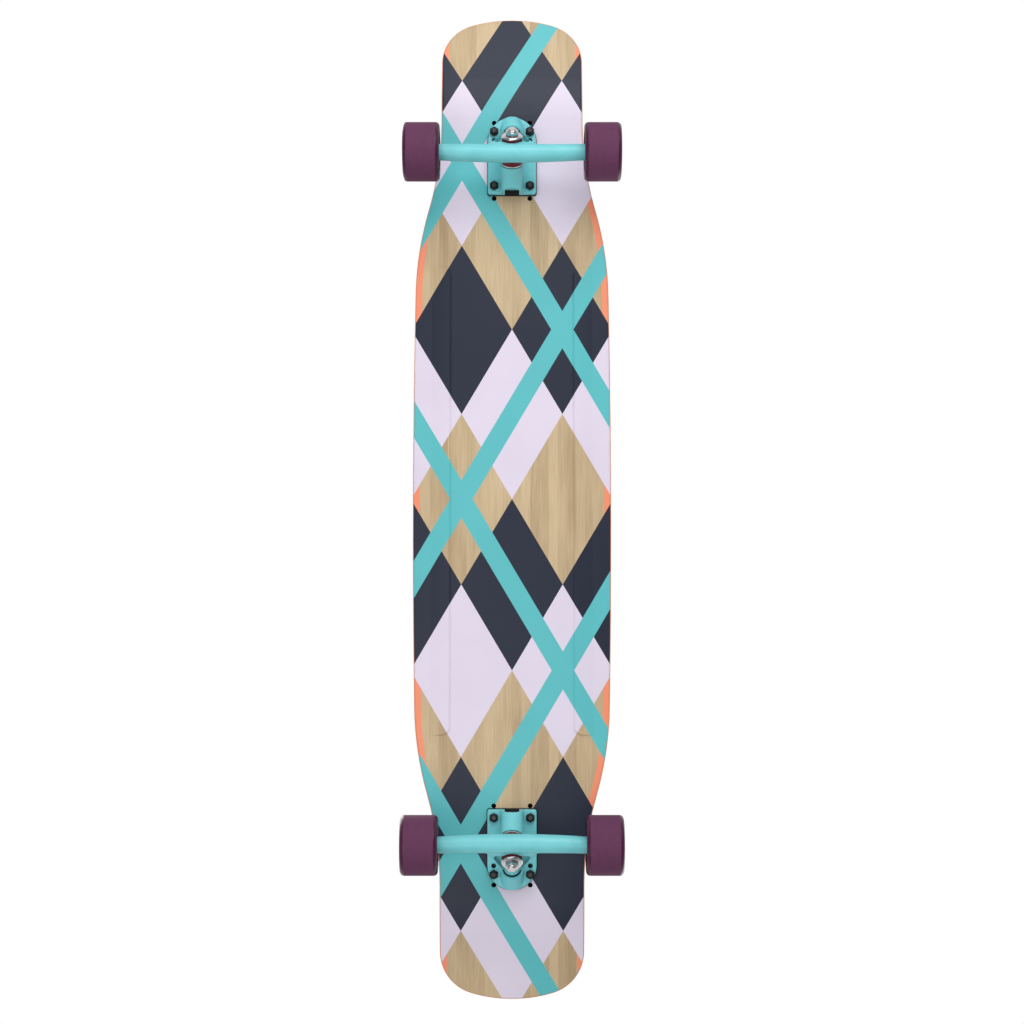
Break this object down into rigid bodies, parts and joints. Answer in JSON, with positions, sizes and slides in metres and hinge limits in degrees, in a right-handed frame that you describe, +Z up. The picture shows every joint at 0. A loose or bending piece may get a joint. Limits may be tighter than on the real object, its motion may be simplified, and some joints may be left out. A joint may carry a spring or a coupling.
{
  "type": "longboard skateboard",
  "caption": "Long double-kick skateboard deck with concave, rails and grip tape, on cast reverse-kingpin trucks with urethane bushings and bearing-mounted wheels.",
  "frame": {"origin": "on the ground midway between the axles, under the board's centreline", "axes": "+X towards the nose, +Y to the left, +Z up; the axles lie along Y"},
  "size_m": [1.14, 0.2466, 0.1409],
  "materials": {
    "deck_wood": "satin lacquer over a printed veneer",
    "grip": "coarse abrasive grit",
    "black_steel": "black oxide",
    "riser_rubber": "matte black",
    "turquoise_paint": "satin turquoise paint on cast aluminium",
    "pivot_urethane": "black urethane",
    "bright_steel": "bright zinc plate",
    "bushing_urethane": "dark red urethane",
    "bearing_steel": "ground bearing steel",
    "bearing_shield": "dark shield",
    "cage_plastic": "moulded",
    "wheel_urethane": "purple cast urethane with a ground tread",
    "wheel_core": "moulded core"
  },
  "bodies": {
    "board": {"deck": "deck_wood", "grip_tape": "grip", "mount_bolts": "black_steel", "mount_nuts": "black_steel", "front_riser_pad": "riser_rubber", "front_baseplate": "turquoise_paint", "front_pivot_cup": "pivot_urethane", "front_kingpin": "bright_steel", "front_kingpin_nut": "bright_steel", "front_cup_washers": "bright_steel", "front_boardside_bushing": "bushing_urethane", "front_roadside_bushing": "bushing_urethane", "rear_riser_pad": "riser_rubber", "rear_baseplate": "turquoise_paint", "rear_pivot_cup": "pivot_urethane", "rear_kingpin": "bright_steel", "rear_kingpin_nut": "bright_steel", "rear_cup_washers": "bright_steel", "rear_boardside_bushing": "bushing_urethane", "rear_roadside_bushing": "bushing_urethane"},
    "front_hanger": {"front_hanger": "turquoise_paint", "front_axle": "bright_steel", "front_axle_nuts": "bright_steel", "front_speed_rings": "bright_steel", "front_bearing_spacers": "bright_steel", "front_bearing_inner_rings": "bearing_steel"},
    "front_left_wheel": {"front_left_tyre": "wheel_urethane", "front_left_core": "wheel_core", "front_left_bearing_outer_rings": "bearing_steel", "front_left_bearing_shields": "bearing_shield"},
    "front_left_balls": {"front_left_bearing_balls": "bearing_steel", "front_left_bearing_cages": "cage_plastic"},
    "front_right_wheel": {"front_right_tyre": "wheel_urethane", "front_right_core": "wheel_core", "front_right_bearing_outer_rings": "bearing_steel", "front_right_bearing_shields": "bearing_shield"},
    "front_right_balls": {"front_right_bearing_balls": "bearing_steel", "front_right_bearing_cages": "cage_plastic"},
    "rear_hanger": {"rear_hanger": "turquoise_paint", "rear_axle": "bright_steel", "rear_axle_nuts": "bright_steel", "rear_speed_rings": "bright_steel", "rear_bearing_spacers": "bright_steel", "rear_bearing_inner_rings": "bearing_steel"},
    "rear_left_wheel": {"rear_left_tyre": "wheel_urethane", "rear_left_core": "wheel_core", "rear_left_bearing_outer_rings": "bearing_steel", "rear_left_bearing_shields": "bearing_shield"},
    "rear_left_balls": {"rear_left_bearing_balls": "bearing_steel", "rear_left_bearing_cages": "cage_plastic"},
    "rear_right_wheel": {"rear_right_tyre": "wheel_urethane", "rear_right_core": "wheel_core", "rear_right_bearing_outer_rings": "bearing_steel", "rear_right_bearing_shields": "bearing_shield"},
    "rear_right_balls": {"rear_right_bearing_balls": "bearing_steel", "rear_right_bearing_cages": "cage_plastic"}
  },
  "joints": [
    {"name": "front_hanger_lean", "type": "hinge", "parent": "board", "child": "front_hanger", "pos_m": [0.39644, 0, 0.04878], "axis": [0.6428, 0, 0.766], "range_deg": [-15, 15], "stiffness_Nm_per_rad": 120, "deforming": ["front_boardside_bushing", "front_roadside_bushing"]},
    {"name": "front_left_wheel_spin", "type": "hinge", "parent": "front_hanger", "child": "front_left_wheel", "pos_m": [0.3885, 0.1025, 0.03325], "axis": [0, 1, 0], "continuous": true},
    {"name": "front_left_balls_orbit", "type": "hinge", "parent": "front_hanger", "child": "front_left_balls", "pos_m": [0.3885, 0.1025, 0.03325], "axis": [0, 1, 0], "continuous": true},
    {"name": "front_right_wheel_spin", "type": "hinge", "parent": "front_hanger", "child": "front_right_wheel", "pos_m": [0.3885, -0.1025, 0.03325], "axis": [0, 1, 0], "continuous": true},
    {"name": "front_right_balls_orbit", "type": "hinge", "parent": "front_hanger", "child": "front_right_balls", "pos_m": [0.3885, -0.1025, 0.03325], "axis": [0, 1, 0], "continuous": true},
    {"name": "rear_hanger_lean", "type": "hinge", "parent": "board", "child": "rear_hanger", "pos_m": [-0.39644, 0, 0.04878], "axis": [-0.6428, 0, 0.766], "range_deg": [-15, 15], "stiffness_Nm_per_rad": 120, "deforming": ["rear_boardside_bushing", "rear_roadside_bushing"]},
    {"name": "rear_left_wheel_spin", "type": "hinge", "parent": "rear_hanger", "child": "rear_left_wheel", "pos_m": [-0.3885, 0.1025, 0.03325], "axis": [0, 1, 0], "continuous": true},
    {"name": "rear_left_balls_orbit", "type": "hinge", "parent": "rear_hanger", "child": "rear_left_balls", "pos_m": [-0.3885, 0.1025, 0.03325], "axis": [0, 1, 0], "continuous": true},
    {"name": "rear_right_wheel_spin", "type": "hinge", "parent": "rear_hanger", "child": "rear_right_wheel", "pos_m": [-0.3885, -0.1025, 0.03325], "axis": [0, 1, 0], "continuous": true},
    {"name": "rear_right_balls_orbit", "type": "hinge", "parent": "rear_hanger", "child": "rear_right_balls", "pos_m": [-0.3885, -0.1025, 0.03325], "axis": [0, 1, 0], "continuous": true}
  ],
  "couplings": [
    {"joint": "front_left_balls_orbit", "follows": "front_left_wheel_spin", "ratio": 0.63233},
    {"joint": "front_right_balls_orbit", "follows": "front_right_wheel_spin", "ratio": 0.63233},
    {"joint": "rear_left_balls_orbit", "follows": "rear_left_wheel_spin", "ratio": 0.63233},
    {"joint": "rear_right_balls_orbit", "follows": "rear_right_wheel_spin", "ratio": 0.63233}
  ]
}
